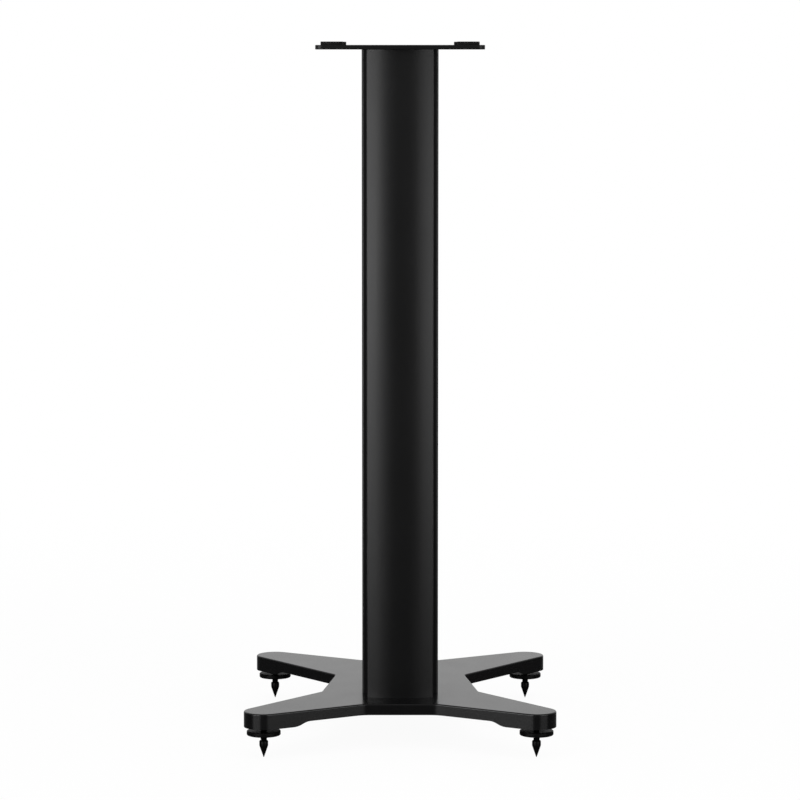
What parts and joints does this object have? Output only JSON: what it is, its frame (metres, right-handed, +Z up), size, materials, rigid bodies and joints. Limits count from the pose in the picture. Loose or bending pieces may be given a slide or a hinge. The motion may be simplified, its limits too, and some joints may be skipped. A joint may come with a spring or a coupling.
{
  "type": "speaker stand",
  "caption": "Floor stand for a bookshelf speaker: padded top plate on a hollow bowed column, star-shaped base plate with screw-adjustable levelling spikes.",
  "frame": {"origin": "on the floor, under the middle of the stand, at the height of the spikes' points", "axes": "+Z up, -Y the front of the stand, +X its right-hand side as the front is seen"},
  "size_m": [0.2756, 0.312, 0.628],
  "materials": {
    "satin_black_steel": "satin black powder coat",
    "satin_black_aluminium": "satin black coated extrusion",
    "black_rubber": "matt",
    "black_steel_screw": "black oxide",
    "black_steel_foot": "turned, black plated",
    "brass_insert": "turned"
  },
  "bodies": {
    "stand": {"base_plate": "satin_black_steel", "column": "satin_black_aluminium", "top_plate": "satin_black_steel", "top_pad_front_left": "black_rubber", "top_pad_front_right": "black_rubber", "top_pad_back_left": "black_rubber", "top_pad_back_right": "black_rubber", "top_screws": "black_steel_screw", "base_screws": "black_steel_screw", "thread_insert_front_left": "brass_insert", "thread_insert_front_right": "brass_insert", "thread_insert_back_left": "brass_insert", "thread_insert_back_right": "brass_insert"},
    "spike_front_left": {"spike_front_left": "black_steel_foot"},
    "disc_front_left": {"levelling_disc_front_left": "black_steel_foot"},
    "spike_front_right": {"spike_front_right": "black_steel_foot"},
    "disc_front_right": {"levelling_disc_front_right": "black_steel_foot"},
    "spike_back_left": {"spike_back_left": "black_steel_foot"},
    "disc_back_left": {"levelling_disc_back_left": "black_steel_foot"},
    "spike_back_right": {"spike_back_right": "black_steel_foot"},
    "disc_back_right": {"levelling_disc_back_right": "black_steel_foot"}
  },
  "joints": [
    {"name": "spike_height_front_left", "type": "slide", "parent": "stand", "child": "spike_front_left", "axis": [0, 0, 1], "range_m": [-0.00305, 0.00305]},
    {"name": "disc_turn_front_left", "type": "hinge", "parent": "spike_front_left", "child": "disc_front_left", "pos_m": [-0.1203, -0.1385, 0.022], "axis": [0, 0, 1], "range_deg": [-1080, 1080]},
    {"name": "spike_height_front_right", "type": "slide", "parent": "stand", "child": "spike_front_right", "axis": [0, 0, 1], "range_m": [-0.00305, 0.00305]},
    {"name": "disc_turn_front_right", "type": "hinge", "parent": "spike_front_right", "child": "disc_front_right", "pos_m": [0.1203, -0.1385, 0.022], "axis": [0, 0, 1], "range_deg": [-1080, 1080]},
    {"name": "spike_height_back_left", "type": "slide", "parent": "stand", "child": "spike_back_left", "axis": [0, 0, 1], "range_m": [-0.00305, 0.00305]},
    {"name": "disc_turn_back_left", "type": "hinge", "parent": "spike_back_left", "child": "disc_back_left", "pos_m": [-0.1203, 0.1385, 0.022], "axis": [0, 0, 1], "range_deg": [-1080, 1080]},
    {"name": "spike_height_back_right", "type": "slide", "parent": "stand", "child": "spike_back_right", "axis": [0, 0, 1], "range_m": [-0.00305, 0.00305]},
    {"name": "disc_turn_back_right", "type": "hinge", "parent": "spike_back_right", "child": "disc_back_right", "pos_m": [0.1203, 0.1385, 0.022], "axis": [0, 0, 1], "range_deg": [-1080, 1080]}
  ],
  "couplings": [
    {"joint": "spike_height_front_left", "follows": "disc_turn_front_left", "m_per_rad": 0.00015915},
    {"joint": "spike_height_front_right", "follows": "disc_turn_front_right", "m_per_rad": 0.00015915},
    {"joint": "spike_height_back_left", "follows": "disc_turn_back_left", "m_per_rad": 0.00015915},
    {"joint": "spike_height_back_right", "follows": "disc_turn_back_right", "m_per_rad": 0.00015915}
  ]
}
